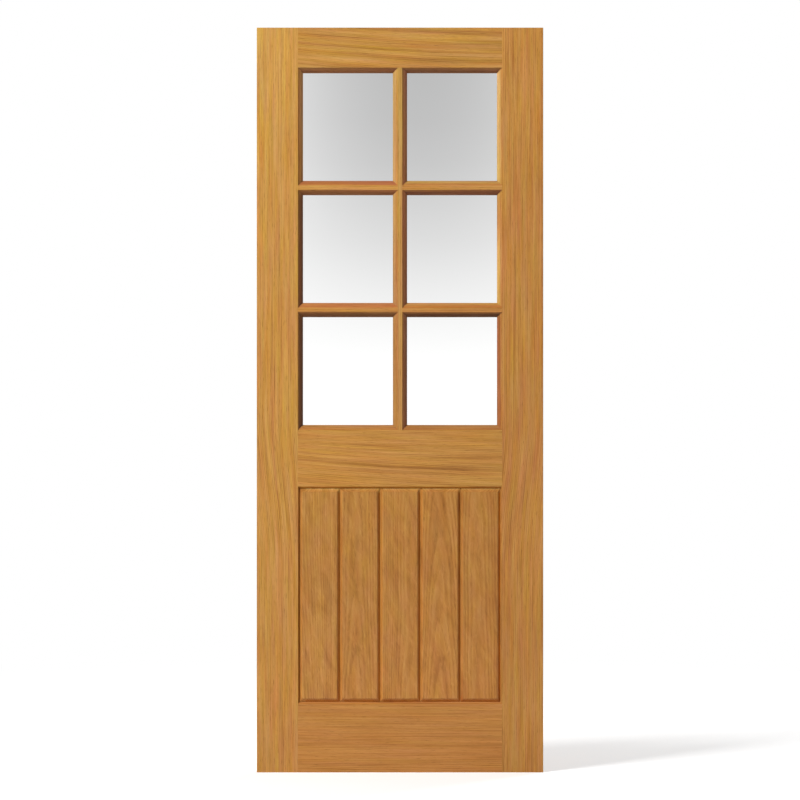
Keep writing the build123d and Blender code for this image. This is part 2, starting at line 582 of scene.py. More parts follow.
def streaks_and_fibre(tree, given, sample):
    """Fine straight streaks, and the fibre between them, which both fade on end grain."""
    lengthwise = math_node(tree, "MULTIPLY_ADD", given["End"], -END_FADE, 1.0)
    streak = stretched_noise(
        tree, sample, STREAK_CELLS, given["Lines Along"], detail=4.0, roughness=0.62
    )
    streak = product(tree, centred(tree, streak, STREAK_SWING), given["Lines"])
    fibre = centred(tree, stretched_noise(tree, sample, *FIBRE_CELLS, detail=3.0), FIBRE_SWING)
    return product(tree, streak, lengthwise), product(tree, fibre, lengthwise)


def mottle_and_flecks(tree, given, place, across):
    """Mottle that leans a little across the boards, and the pale flecks of the rays."""
    aslant = math_node(tree, "MULTIPLY_ADD", place["Z"], MOTTLE_LEAN, across)
    leaning = joined(tree, aslant, place["Y"], total(tree, place["Z"], given["Seed"]))
    cloud = stretched_noise(
        tree, leaning, *MOTTLE_CELLS, detail=4.0, roughness=0.6, distortion=0.6
    )
    rays = stretched_noise(tree, leaning, *FLECK_CELLS, detail=1.0, distortion=0.3)
    mottle = product(tree, centred(tree, cloud, 1.0), given["Mottle"])
    return mottle, product(tree, ranged(tree, rays, *FLECK_FROM), given["Flecks"])


def colour_swing(tree, given, sample):
    """How the wood turns a little golden, red or olive in long patches."""
    patches = drawn_out(tree, sample, given["Cast Across"], given["Cast Along"], detail=3.0)
    swing = vector_node(tree, "SUBTRACT", patches.outputs["Color"], (0.5, 0.5, 0.5))
    inputs = {"Vector": swing, "Scale": given["Cast"]}
    return add_node(tree, "ShaderNodeVectorMath", inputs, operation="SCALE").outputs["Vector"]


def open_pores(tree, given, sample, early):
    """Short dark dashes, and dots on end grain, crowded where the ring's early wood is."""
    dash = ranged(tree, stretched_noise(tree, sample, *PORE_CELLS, detail=1.0), *PORE_FROM)
    dash = product(tree, dash, math_node(tree, "SUBTRACT", 1.0, given["End"]))
    pits = stretched_noise(tree, sample, *PIT_CELLS, detail=2.0, roughness=0.7, distortion=1.2)
    dot = product(tree, ranged(tree, pits, *PIT_FROM), given["End"])
    crowd = math_node(tree, "MULTIPLY_ADD", early, 1.0 - PORES_ELSEWHERE, PORES_ELSEWHERE)
    return math_node(tree, "MULTIPLY", total(tree, dash, dot), crowd, clamp=True)


def oak_grain():
    """The node group that saws a piece out of a tree: X across, Y through, Z along the grain."""
    tree = bpy.data.node_groups.new("oak_grain", "ShaderNodeTree")
    tree.interface.new_socket("Vector", in_out="INPUT", socket_type="NodeSocketVector")
    for name, value in GRAIN_INPUTS.items():
        socket = tree.interface.new_socket(name, in_out="INPUT", socket_type="NodeSocketFloat")
        socket.default_value = value
    for name in ("Tone", "Lie", "Pores", "Relief"):
        tree.interface.new_socket(name, in_out="OUTPUT", socket_type="NodeSocketFloat")
    tree.interface.new_socket("Cast", in_out="OUTPUT", socket_type="NodeSocketVector")
    given = add_node(tree, "NodeGroupInput").outputs
    place = parted(tree, given["Vector"])

    # Each piece is sawn from its own place in the tree's noise
    across = lie_of_grain(tree, given, place)
    offset = joined(tree, *(product(tree, given["Seed"], step) for step in SEED_STEPS))
    sample = vector_node(tree, "ADD", joined(tree, across, place["Y"], place["Z"]), offset)
    wander = centred(tree, stretched_noise(tree, sample, *WANDER_CELLS), given["Wander"])
    ripple = centred(tree, stretched_noise(tree, sample, *RIPPLE_CELLS), RIPPLE)

    radius, early = growth_rings(tree, given, place, across, ripple, wander)
    years = dark_years(tree, given, sample, radius)
    streak, fibre = streaks_and_fibre(tree, given, sample)
    mottle, fleck = mottle_and_flecks(tree, given, place, across)
    ring_depth = math_node(tree, "MULTIPLY_ADD", given["End"], -RING_DEEPER_AT_END, -RING_DEPTH)
    ring_line = product(tree, centred(tree, early, 1.0), ring_depth)
    pores = open_pores(tree, given, sample, early)
    pits = product(tree, pores, -1.0)
    outputs = {
        "Tone": total(tree, years, streak, fibre, mottle, fleck, ring_line, MIDDLE_TONE),
        "Lie": total(tree, across, ripple),
        "Pores": pores,
        "Relief": math_node(tree, "MULTIPLY_ADD", fibre, FIBRE_RELIEF, pits),
        "Cast": colour_swing(tree, given, sample),
    }
    add_node(tree, "NodeGroupOutput", outputs)


def oak_vein():
    """The node group for one darker streak, which follows the lie of the grain."""
    tree = bpy.data.node_groups.new("oak_vein", "ShaderNodeTree")
    for name in ("Tone", "Lie", "Along", *VEIN_INPUTS):
        tree.interface.new_socket(name, in_out="INPUT", socket_type="NodeSocketFloat")
    tree.interface.new_socket("Tone", in_out="OUTPUT", socket_type="NodeSocketFloat")
    given = add_node(tree, "NodeGroupInput").outputs
    aside = math_node(tree, "SUBTRACT", given["Lie"], given["Across"])
    aside = math_node(tree, "DIVIDE", aside, given["Width"])
    away = math_node(tree, "SUBTRACT", given["Along"], given["Centre"])
    away = math_node(tree, "DIVIDE", away, given["Length"])
    far = math_node(tree, "MULTIPLY_ADD", aside, aside, product(tree, away, away))
    near = math_node(tree, "EXPONENT", product(tree, far, -1.0))
    tone = math_node(tree, "SUBTRACT", given["Tone"], product(tree, near, given["Strength"]))
    add_node(tree, "NodeGroupOutput", {"Tone": tone})


def new_material(name):
    """An empty material with nodes, and its tree."""
    material = bpy.data.materials.new(name)
    material.use_nodes = True
    material.node_tree.nodes.clear()
    return material, material.node_tree


def mixed(tree, factor, first, second, **settings):
    """A mix of two colours by a factor."""
    inputs = {"Factor": factor, "A": first, "B": second}
    for name, colour in (("A", first), ("B", second)):
        if not isinstance(colour, bpy.types.NodeSocket):
            inputs[name] = (*colour, 1.0)
    mix = add_node(tree, "ShaderNodeMix", inputs, data_type="RGBA", **settings)
    return mix.outputs["Result"]


def multiplied(tree, colour, factor, tint):
    """A colour multiplied by a tint, as far as a factor says."""
    return mixed(tree, factor, colour, tint, blend_type="MULTIPLY")


def ramped(tree, factor, steps):
    """A colour ramp from (position, colour) steps."""
    ramp = add_node(tree, "ShaderNodeValToRGB", {"Fac": factor})
    elements = ramp.color_ramp.elements
    for place, (position, colour) in zip(elements, (steps[0], steps[-1])):
        place.position = position
        place.color = (*colour, 1.0)
    for position, colour in steps[1:-1]:
        elements.new(position).color = (*colour, 1.0)
    return ramp.outputs["Color"]


def along_piece(tree, share, tint):
    """A tint as it is, or where it is a list of steps, a ramp of them along the piece."""
    return ramped(tree, share, tint) if isinstance(tint, list) else tint


def wood_tone(tree, figure, along, veins):
    """The figure's tone, with the piece's own streaks in it."""
    tone = figure["Tone"]
    streak = bpy.data.node_groups["oak_vein"]
    for vein in veins:
        inputs = {"Tone": tone, "Lie": figure["Lie"], "Along": along}
        inputs.update(zip(VEIN_INPUTS, vein))
        tone = add_node(tree, "ShaderNodeGroup", inputs, node_tree=streak).outputs["Tone"]
    return tone


def wood_colour(tree, look, figure, tone, tint):
    """The wood's colour by its tone, turned and tinted along the piece, with its dark pores."""
    steps = tuple(zip(TONE_STEPS, (look.dark, look.middle, look.light)))
    colour = ramped(tree, tone, steps)
    cast = vector_node(tree, "MULTIPLY_ADD", figure["Cast"], look.cast, PLAIN)
    colour = multiplied(tree, colour, 1.0, cast)
    colour = multiplied(tree, colour, 1.0, tint)
    return mixed(tree, product(tree, figure["Pores"], PORE_SHADE), colour, look.pore)


def oiled_surface(tree, look, figure, colour):
    """The oil's soft sheen over the wood's relief, with every edge eased."""
    rough = math_node(tree, "MULTIPLY_ADD", figure["Pores"], PORES_ROUGHER, look.roughness)
    rough = math_node(tree, "MULTIPLY_ADD", figure["Tone"], -PALE_SMOOTHER, rough)
    eased = add_node(tree, "ShaderNodeBevel", {"Radius": look.arris}, samples=4)
    relief = {
        "Strength": 0.6,
        "Distance": look.pore_depth,
        "Height": figure["Relief"],
        "Normal": eased.outputs["Normal"],
    }
    surface = {
        "Base Color": colour,
        "Roughness": rough,
        "Normal": add_node(tree, "ShaderNodeBump", relief).outputs["Normal"],
        "Specular IOR Level": 0.25,
        "Coat Weight": 0.05,
        "Coat Roughness": 0.35,
    }
    shader = add_node(tree, "ShaderNodeBsdfPrincipled", surface)
    add_node(tree, "ShaderNodeOutputMaterial", {"Surface": shader.outputs["BSDF"]})


def oak_material(
    node_name,
    grain_way,
    tint=PLAIN,
    low_strip=PLAIN,
    high_strip=PLAIN,
    low_start=0.0,
    quirk=None,
    lit_edge=None,
    veins=(),
    **grain,
):
    """Oak for one piece, cut from its own board, its grain along X or Z.

    The low and high shadings are painted light and shade on the mouldings or grooves on its
    two sides, darker where a side is turned away from the light and paler where it faces it, and
    the low one starts so far below the face. The quirk is painted shade along the step of its
    mouldings. A lit edge is a place across the leaf, and the painted shading of the lit bevel
    before it.
    A tint is a colour, or a list of steps along the piece, each a share of its length from the
    low end and a colour there. Each vein is one streak, as VEIN_INPUTS lists it. The rest goes
    to the oak's grain."""
    look = bpy.context.scene.door_oak
    material, tree = new_material(f"oak_{node_name}")
    low, high = (Vector(corner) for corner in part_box(node_name))
    length = (high - low)["XYZ".index(grain_way)]
    coordinates = add_node(tree, "ShaderNodeTexCoord").outputs
    in_leaf = parted(tree, coordinates["Object"])
    moved = vector_node(tree, "SUBTRACT", coordinates["Object"], (low + high) / 2)
    in_piece = parted(tree, moved)
    across, along = in_piece["X"], in_piece["Z"]
    if grain_way == "X":
        across, along = along, across
    facing = math_node(tree, "ABSOLUTE", parted(tree, coordinates["Normal"])[grain_way])
    end = ranged(tree, facing, *END_GRAIN_FROM)
    on_side = math_node(tree, "SUBTRACT", 1.0, end)

    place = joined(tree, across, in_leaf["Y"], along)
    given = {"Vector": place, **GRAIN_INPUTS, **grain, "End": end}
    grown = bpy.data.node_groups["oak_grain"]
    figure = add_node(tree, "ShaderNodeGroup", given, node_tree=grown).outputs
    share = math_node(tree, "MULTIPLY_ADD", along, 1.0 / length, 0.5)
    tone = wood_tone(tree, figure, along, veins)
    # The tint is the piece's own tone and partly painted light: it makes pieces on the left paler
    # and pieces on the right darker, as the light falls from the upper left
    colour = wood_colour(tree, look, figure, tone, along_piece(tree, share, tint))

    # Painted light and shade on the mouldings and grooves, by how far the surface lies below the
    # leaf's face
    depth = math_node(tree, "ABSOLUTE", in_leaf["Y"])
    below = math_node(tree, "SUBTRACT", LEAF_THICKNESS / 2, depth)
    upper_side = math_node(tree, "GREATER_THAN", across, 0.0)
    low_strip, high_strip = (along_piece(tree, share, each) for each in (low_strip, high_strip))
    painted_side_shading = mixed(tree, upper_side, low_strip, high_strip)
    if lit_edge:
        before = math_node(tree, "LESS_THAN", in_leaf["X"], lit_edge[0])
        painted_side_shading = mixed(tree, before, painted_side_shading, lit_edge[1])
    start = math_node(tree, "MULTIPLY_ADD", upper_side, -low_start, low_start)
    full = math_node(tree, "ADD", start, look.painted_shading_depth)
    painted_shading_reach = product(tree, ranged(tree, below, start, full), on_side)
    colour = multiplied(tree, colour, painted_shading_reach, painted_side_shading)

    # The oil that end grain soaks up, and the painted shade along the step of a moulding
    colour = multiplied(tree, colour, end, look.end_grain)
    # Painted shade in a band just below the face, along the step of each moulding
    oiled = product(tree, ranged(tree, below, *QUIRK_SHADE_COMES), ranged(tree, below, *QUIRK_SHADE_GOES))
    colour = multiplied(tree, colour, product(tree, oiled, on_side), quirk or look.quirk)
    oiled_surface(tree, look, figure, colour)
    return material


def glass_material():
    """Clear glass that lets the lamps' light through."""
    look = bpy.context.scene.door_glass
    material, tree = new_material("clear_glass")
    surface = {
        "Base Color": (*look.tint, 1.0),
        "Roughness": 0.0,
        "IOR": look.index,
        "Transmission Weight": 1.0,
    }
    sheet = add_node(tree, "ShaderNodeBsdfPrincipled", surface)
    through = add_node(tree, "ShaderNodeBsdfTransparent", {"Color": (*look.tint, 1.0)})
    path = add_node(tree, "ShaderNodeLightPath").outputs
    lamp_or_bounce = math_node(tree, "MAXIMUM", path["Is Shadow Ray"], path["Is Diffuse Ray"])
    parts = {0: lamp_or_bounce, 1: sheet.outputs["BSDF"], 2: through.outputs["BSDF"]}
    mix = add_node(tree, "ShaderNodeMixShader", parts)
    add_node(tree, "ShaderNodeOutputMaterial", {"Surface": mix.outputs["Shader"]})
    return material


def give(node_name, material):
    """Puts a material on every slot of a carried-over piece."""
    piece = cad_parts[node_name]
    if not piece.material_slots:
        piece.data.materials.append(material)
    for slot in piece.material_slots:
        slot.material = material


class DOOR_OT_finish_stiles(Operator):
    """Gives both stiles straight upright grain"""

    bl_idname = "door.finish_stiles"
    bl_label = "Finish the Stiles"

    def execute(self, context):
        groove = Vector(context.scene.door_oak.groove)
        lie = {"Swerve From": -0.46, "Swerve To": -0.02, "Lines Along": 7.0, "Cast Along": 6.0}
        left = {
            # Partly painted light: the left stile grows paler towards its top
            "tint": [
                (0.0, (1.0, 1.0, 1.05)),
                (0.6, (1.01, 1.07, 1.10)),
                (1.0, (1.09, 1.24, 1.36)),
            ],
            "veins": [
                (0.0265, -0.30, 0.0018, 0.10, 0.24),
                (0.0019, -0.30, 0.0018, 0.10, 0.18),
                (-0.0150, -0.20, 0.0025, 0.12, 0.14),
            ],
            # Painted shade on the left stile's arris by the boards and on its moulding, which
            # face away from the light
            "high_strip": [
                (0.37, tuple(groove * 0.85)),
                (0.39, (0.24, 0.16, 0.16)),
                (0.60, (0.26, 0.17, 0.17)),
                (0.64, (0.33, 0.21, 0.20)),
                (0.77, (0.33, 0.21, 0.20)),
                (0.80, (0.86, 0.76, 0.94)),
            ],
            "Swerve": 0.028,
            "Heart Across": -0.34,
            "Heart Depth": 0.16,
            "Bands": 0.7,
            "Lines": 1.2,
            "Cast": 1.1,
            "Seed": 1.0,
        }
        right = {
            # Partly painted light: the right stile is darker than the left one
            "tint": [
                (0.0, (0.89, 0.85, 0.88)),
                (0.6, (0.94, 0.90, 0.97)),
                (1.0, (1.0, 1.0, 1.06)),
            ],
            # Painted light and shade on the right stile's arris and moulding, which face the
            # light: mostly paler, darker over part of its length
            "low_strip": [
                (0.37, (1.22, 1.32, 1.40)),
                (0.39, (0.69, 0.53, 0.80)),
                (0.61, (0.69, 0.53, 0.80)),
                (0.63, (1.18, 1.46, 1.85)),
                (0.70, (1.18, 1.46, 1.85)),
                (0.74, (0.92, 0.94, 1.18)),
                (0.77, (0.92, 0.94, 1.18)),
                (0.80, (1.18, 1.62, 2.40)),
            ],
            "low_start": 0.0015,
            # Painted shade along the step of its mouldings
            "quirk": (0.86, 0.84, 0.84),
            "veins": [
                (-0.0307, -0.32, 0.0022, 0.10, 0.30),
                (-0.0045, -0.24, 0.0020, 0.07, 0.20),
                (-0.0664, -0.14, 0.0080, 0.09, 0.18),
                (0.0322, -0.33, 0.0070, 0.07, -0.25),
            ],
            "Swerve": -0.028,
            "Heart Across": 0.31,
            "Heart Depth": 0.19,
            "Bands": 0.8,
            "Lines": 1.2,
            "Cast": 1.1,
            "Seed": 2.3,
        }
        give("hanging_stile", oak_material("hanging_stile", "Z", **left, **lie))
        give("lock_stile", oak_material("lock_stile", "Z", **right, **lie))
        return {"FINISHED"}


class DOOR_OT_finish_rails(Operator):
    """Gives the three rails level grain, each with its own slope and figure"""

    bl_idname = "door.finish_rails"
    bl_label = "Finish the Rails"

    def execute(self, context):
        groove = tuple(context.scene.door_oak.groove)
        rails = {
            "top_rail": {
                "tint": (0.955, 0.995, 1.05),
                # Painted shade on the moulding under the top rail, which faces down
                "low_strip": [(0.47, (0.50, 0.38, 0.44)), (0.53, (0.42, 0.31, 0.36))],
                "veins": [
                    (-0.0016, -0.06, 0.0022, 0.20, 0.30),
                    (-0.0226, 0.11, 0.0035, 0.13, 0.24),
                    (0.0263, -0.15, 0.0020, 0.12, 0.28),
                    (0.0122, 0.02, 0.0020, 0.16, -0.24),
                    (-0.0396, -0.15, 0.0028, 0.15, -0.20),
                ],
                "Slope": 0.055,
                "Bow": -0.075,
                "Bands": 0.9,
                "Lines": 1.3,
                "Cast": 1.1,
                "Seed": 3.1,
            },
            "middle_rail": {
                # Partly painted light: darker towards the right
                "tint": [(0.1, (1.0, 1.0, 1.02)), (0.9, (0.94, 0.96, 1.03))],
                # Painted shade, with gathered oil, on the arris over the boards, which faces down
                "low_strip": groove,
                # Painted shade on the mouldings along the middle rail's top, which face up
                "high_strip": [(0.47, (0.86, 0.84, 1.12)), (0.53, (0.80, 0.74, 0.95))],
                "veins": [
                    (-0.0275, 0.02, 0.0036, 0.20, 0.48),
                    (-0.0235, 0.17, 0.0070, 0.08, 0.08),
                    (-0.0400, 0.06, 0.0044, 0.17, 0.26),
                    (0.0006, 0.15, 0.0024, 0.12, 0.28),
                    (0.0100, 0.0, 0.0020, 0.08, -0.28),
                    (-0.0120, -0.16, 0.0028, 0.10, -0.28),
                ],
                "Slope": 0.0435,
                "Bow": -0.062,
                "Fan": -0.29,
                "Bands": 0.6,
                "Lines": 1.5,
                "Cast": 0.8,
                "Seed": 4.7,
            },
            "bottom_rail": {
                # Partly painted light: darker towards the right
                "tint": [(0.1, (0.97, 0.90, 0.98)), (0.9, (0.91, 0.83, 0.90))],
                # Painted light on the arris along the bottom rail's top, which faces up
                "high_strip": (1.0, 1.06, 1.40),
                "Slope": 0.01,
                "Bands": 0.5,
                "Lines": 1.3,
                "Cast": 0.5,
                "Seed": 5.9,
            },
        }
        heart = {"Heart Across": -0.3, "Heart Depth": 0.14}
        for name, look in rails.items():
            give(name, oak_material(name, "X", **heart, **look))
        return {"FINISHED"}


class DOOR_OT_finish_bars(Operator):
    """Gives the glazing bars fine straight grain along their length"""

    bl_idname = "door.finish_bars"
    bl_label = "Finish the Glazing Bars"

    def execute(self, context):
        bars = {
            "upright_bar": {
                "grain_way": "Z",
                # Partly painted light: paler towards the top
                "tint": [(0.3, (0.98, 1.03, 1.36)), (0.8, (0.96, 1.14, 1.44))],
                # Painted shading on the upright bar's left moulding, which faces the light
                "low_strip": [
                    (0.30, (0.81, 0.78, 0.80)),
                    (0.36, (0.85, 0.82, 0.95)),
                    (0.63, (0.86, 0.84, 0.98)),
                    (0.69, (1.02, 1.06, 1.25)),
                ],
                # Painted shade on its right moulding, which faces away from the light
                "high_strip": [
                    (0.3, (0.58, 0.44, 0.60)),
                    (0.5, (0.70, 0.49, 0.64)),
                    (0.8, (0.84, 0.60, 0.90)),
                ],
            },
            # On the cross bars, painted shade on the lower moulding, which faces down, and
            # painted light and shade on the upper one, which faces up
            "cross_bar_upper_left": {
                # Partly painted light: the upper bars are paler than the lower ones
                "tint": (1.12, 1.19, 1.34),
                "low_strip": (0.42, 0.30, 0.30),
                "high_strip": (0.64, 0.44, 0.62),
            },
            "cross_bar_upper_right": {
                "tint": (1.02, 1.02, 1.22),
                "low_strip": (0.38, 0.26, 0.27),
                "high_strip": (0.90, 1.02, 1.10),
            },
            "cross_bar_lower_left": {
                "tint": (1.01, 0.98, 1.20),
                "low_strip": (0.30, 0.23, 0.14),
                "high_strip": (0.88, 0.74, 0.82),
            },
            "cross_bar_lower_right": {
                "tint": (0.99, 0.95, 1.02),
                "low_strip": (0.22, 0.16, 0.09),
                "high_strip": (0.98, 1.02, 1.06),
            },
        }
        for number, (name, look) in enumerate(bars.items()):
            look.setdefault("grain_way", "X")
            give(name, oak_material(name, Seed=7.2 + 0.9 * number, **THIN_GRAIN, **look))
        return {"FINISHED"}


class DOOR_OT_finish_boards(Operator):
    """Gives each board its own figure, with mottle and ray flecks"""

    bl_idname = "door.finish_boards"
    bl_label = "Finish the Boards"

    def execute(self, context):
        groove = Vector(context.scene.door_oak.groove)
        hearts = (-0.060, -0.014, 0.034, -0.004, -0.010)
        # How strong the painted shade in each board's grooves is
        groove_shade_strengths = (1.04, 1.08, 1.04, 0.90, 1.5)
        shades = (1.0, 1.0, 1.0, 1.01, 0.955)
        # Painted shade on each board's bottom bevel, which faces down, and painted light on its
        # top bevel, which faces up, each with its place along the board
        painted_shade_bottom_bevel = (0.033, (0.79, 0.57, 0.23))
        painted_light_top_bevel = (0.972, (1.18, 1.48, 1.95))
        # Painted shading on each board's left bevel, which faces the light
        side = (0.88, 0.92, 1.08)
        panel_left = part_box("hanging_stile")[1][0]
        panel_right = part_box("lock_stile")[0][0]
        board_width = (panel_right - panel_left) / len(hearts)
        lots = zip(hearts, groove_shade_strengths, shades)
        for number, (heart, depth, shade) in enumerate(lots, start=1):
            # Painted shade, with the oil gathered there, on each board's right bevel, which faces
            # away from the light
            deep = tuple(groove * depth)
            joint = panel_left + (number - 1) * board_width
            name = f"board_{number}"
            # Each board's own tone, partly painted light: the boards darken and redden towards
            # the right, the last one most
            wood = (0.885 - 0.006 * number, 0.865 - 0.017 * number, 0.92 - 0.03 * number)
            red, green, blue = (part * shade for part in wood)
            look = {
                "tint": [
                    (0.0, (red * 1.09, green * 1.06, blue * 1.13)),
                    (0.25, (red * 1.05, green * 1.05, blue * 1.09)),
                    (0.55, (red * 0.98, green * 0.98, blue * 0.98)),
                    (0.95, (red, green * 1.02, blue)),
                ],
                "low_strip": [painted_shade_bottom_bevel, (0.045, side), (0.962, side), painted_light_top_bevel],
                "high_strip": [painted_shade_bottom_bevel, (0.045, deep), (0.962, deep), painted_light_top_bevel],
                # Painted shading on the lit left bevel, paler than the painted shade of the
                # bottom bevel where the two meet
                "lit_edge": (joint + SIDE_BEVEL, (0.91, 0.92, 0.94)),
                "Heart Across": heart,
                "Heart Depth": 0.034 + 0.003 * number,
                "Heart Tilt": 0.016 + 0.002 * number,
                "Wander": 0.03,
                "Bands": 0.66 + 0.03 * number,
                "Lines": 0.4,
                "Mottle": 0.95,
                "Flecks": 0.12,
                "Cast": 0.65,
                "Cast Across": 45.0,
                "Cast Along": 14.0,
                "Seed": 10.0 + 1.3 * number,
            }
            give(name, oak_material(name, "Z", **look))
        return {"FINISHED"}


class DOOR_OT_finish_beads(Operator):
    """Gives the loose glazing beads fine grain along their length"""

    bl_idname = "door.finish_beads"
    bl_label = "Finish the Glazing Beads"

    def execute(self, context):
        seed = 20.0
        for pane in PANES:
            for side in SIDES:
                name = f"bead_{pane}_{side}"
                way = "X" if side in ("top", "bottom") else "Z"
                give(name, oak_material(name, way, Seed=seed, **THIN_GRAIN))
                seed += 1.7
        return {"FINISHED"}


class DOOR_OT_finish_panes(Operator):
    """Makes the six panes clear glass"""

    bl_idname = "door.finish_panes"
    bl_label = "Finish the Panes"

    def execute(self, context):
        glass = glass_material()
        for pane in PANES:
            give(f"pane_{pane}", glass)
        return {"FINISHED"}


def filler_material():
    """Wood filler: a matt paste with fine grit and small pits."""
    look = bpy.context.scene.door_fillings
    material, tree = new_material("wood_filler")
    place = add_node(tree, "ShaderNodeTexCoord").outputs["Object"]
    grit = stretched_noise(tree, place, FILLER_GRIT, FILLER_GRIT, detail=3.0, roughness=0.6)
    pale = ranged(tree, grit, *FILLER_GRIT_FROM)
    paler = tuple(part * FILLER_PALER for part in look.colour)
    relief = {"Strength": 0.5, "Distance": FILLER_PITS, "Height": grit}
    surface = {
        "Base Color": mixed(tree, pale, look.colour, paler),
        "Roughness": ranged(tree, grit, *FILLER_GRIT_FROM, *FILLER_ROUGHNESS),
        "Normal": add_node(tree, "ShaderNodeBump", relief).outputs["Normal"],
        "Specular IOR Level": 0.25,
    }
    shader = add_node(tree, "ShaderNodeBsdfPrincipled", surface)
    add_node(tree, "ShaderNodeOutputMaterial", {"Surface": shader.outputs["BSDF"]})
    return material


def one_filling(look):
    """The filler in one pin hole, upright at the origin, its rim rounded off."""
    height = look.proud + look.depth
    bpy.ops.object.select_all(action="DESELECT")
    bpy.ops.mesh.primitive_cylinder_add(
        vertices=FILLING_SIDES,
        radius=look.radius,
        depth=height,
        location=(0.0, 0.0, look.proud - height / 2),
    )
    filling = bpy.context.object
    bpy.ops.object.transform_apply(location=True, rotation=True, scale=True)
    bpy.ops.object.mode_set(mode="EDIT")
    bpy.ops.mesh.select_mode(type="FACE")
    bpy.ops.mesh.select_all(action="DESELECT")
    bpy.ops.object.mode_set(mode="OBJECT")
    for face in filling.data.polygons:
        face.select = face.normal.z > FILLING_TOP
    bpy.ops.object.mode_set(mode="EDIT")
    bpy.ops.mesh.bevel(offset=look.radius * FILLING_ROUND, segments=3, affect="EDGES")
    bpy.ops.object.mode_set(mode="OBJECT")
    bpy.ops.object.shade_smooth_by_angle(angle=FILLING_SMOOTH)
    return filling


def filling_places(bead_name, side, look):
    """Where the fillings of a bead go: on the middle of its rounded face, square to it."""
    low, high = (Vector(corner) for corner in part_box(bead_name))
    size = high - low
    across, up = {"top": (0, -1), "bottom": (0, 1), "left": (1, 0), "right": (-1, 0)}[side]
    inwards = Vector((across, 0.0, up))
    run = Vector((abs(up), 0.0, abs(across)))
    width = abs(size.dot(inwards))
    outer = (low + high) / 2 - inwards * width / 2
    point = outer + inwards * width * FACE_ACROSS
    point.y = low.y + size.y * FACE_BACK
    outwards = (Vector((0.0, FACE_LEAN[0], 0.0)) + inwards * FACE_LEAN[1]).normalized()
    turn = outwards.to_track_quat("Z", "Y").to_matrix().to_4x4()
    reach = size.dot(run) / 2 - look.from_end
    for step in (-1, 0, 1):
        yield Matrix.Translation(point + run * reach * step) @ turn


class DOOR_OT_fill_pin_holes(Operator):
    """Makes the filler over the pins in the glazing beads, three to a bead"""

    bl_idname = "door.fill_pin_holes"
    bl_label = "Fill the Pin Holes"

    def execute(self, context):
        look = context.scene.door_fillings
        pattern = one_filling(look)
        pattern.data.materials.append(filler_material())
        for pane in PANES:
            copies = []
            for side in SIDES:
                for place in filling_places(f"bead_{pane}_{side}", side, look):
                    copy = bpy.data.objects.new("filling", pattern.data.copy())
                    copy.data.transform(place)
                    context.scene.collection.objects.link(copy)
                    copies.append(copy)
            bpy.ops.object.select_all(action="DESELECT")
            for copy in copies:
                copy.select_set(True)
            context.view_layer.objects.active = copies[0]
            bpy.ops.object.join()
            fillings = context.object
            fillings.name = f"fillings_{pane}"
            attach(fillings, "root")
        bpy.data.meshes.remove(pattern.data)
        return {"FINISHED"}


def soft_lamp(name, way, distance, size, power):
    """A square soft lamp that shines at the leaf's middle and isn't seen itself."""
    data = bpy.data.lights.new(name, "AREA")
    data.shape = "SQUARE"
    data.size = size
    data.energy = power
    lamp = bpy.data.objects.new(name, data)
    lamp.location = LEAF_MIDDLE + way.normalized() * distance
    lamp.rotation_euler = way.to_track_quat("Z", "Y").to_euler()
    lamp.visible_camera = False
    lamp.visible_transmission = False
    lamp.visible_glossy = False
    bpy.context.scene.collection.objects.link(lamp)


def surroundings(ambient):
    """A white room, darker towards its ceiling where the panes look through to it."""
    world = bpy.data.worlds.new("studio")
    world.use_nodes = True
    bpy.context.scene.world = world
    tree = world.node_tree
    tree.nodes.clear()
    path = add_node(tree, "ShaderNodeLightPath").outputs
    way = add_node(tree, "ShaderNodeTexCoord").outputs["Generated"]
    part = parted(tree, way)
    aside = math_node(tree, "SUBTRACT", part["X"], SHADE_MIDDLE)
    spread = math_node(tree, "MULTIPLY_ADD", product(tree, aside, aside), -SHADE_FALL, 1.0)
    spread = math_node(tree, "MAXIMUM", spread, SHADE_LEAST)
    steps = [(height, (shade, shade, shade)) for height, shade in SHADE_STEPS]
    depth = ramped(tree, product(tree, part["Z"], SHADE_SCALE), steps)
    behind = mixed(tree, product(tree, depth, spread), SHADE_NONE, SHADE_FULL)
    behind = mixed(tree, ranged(tree, part["Z"], *DOWN_FROM), behind, DOWN_COLOUR)
    white = math_node(tree, "MAXIMUM", path["Is Camera Ray"], path["Is Glossy Ray"])
    colour = mixed(tree, white, (ambient, ambient, ambient), PLAIN)
    colour = mixed(tree, path["Is Transmission Ray"], colour, behind)
    room = add_node(tree, "ShaderNodeBackground", {"Color": colour, "Strength": 1.0})
    add_node(tree, "ShaderNodeOutputWorld", {"Surface": room.outputs["Background"]})


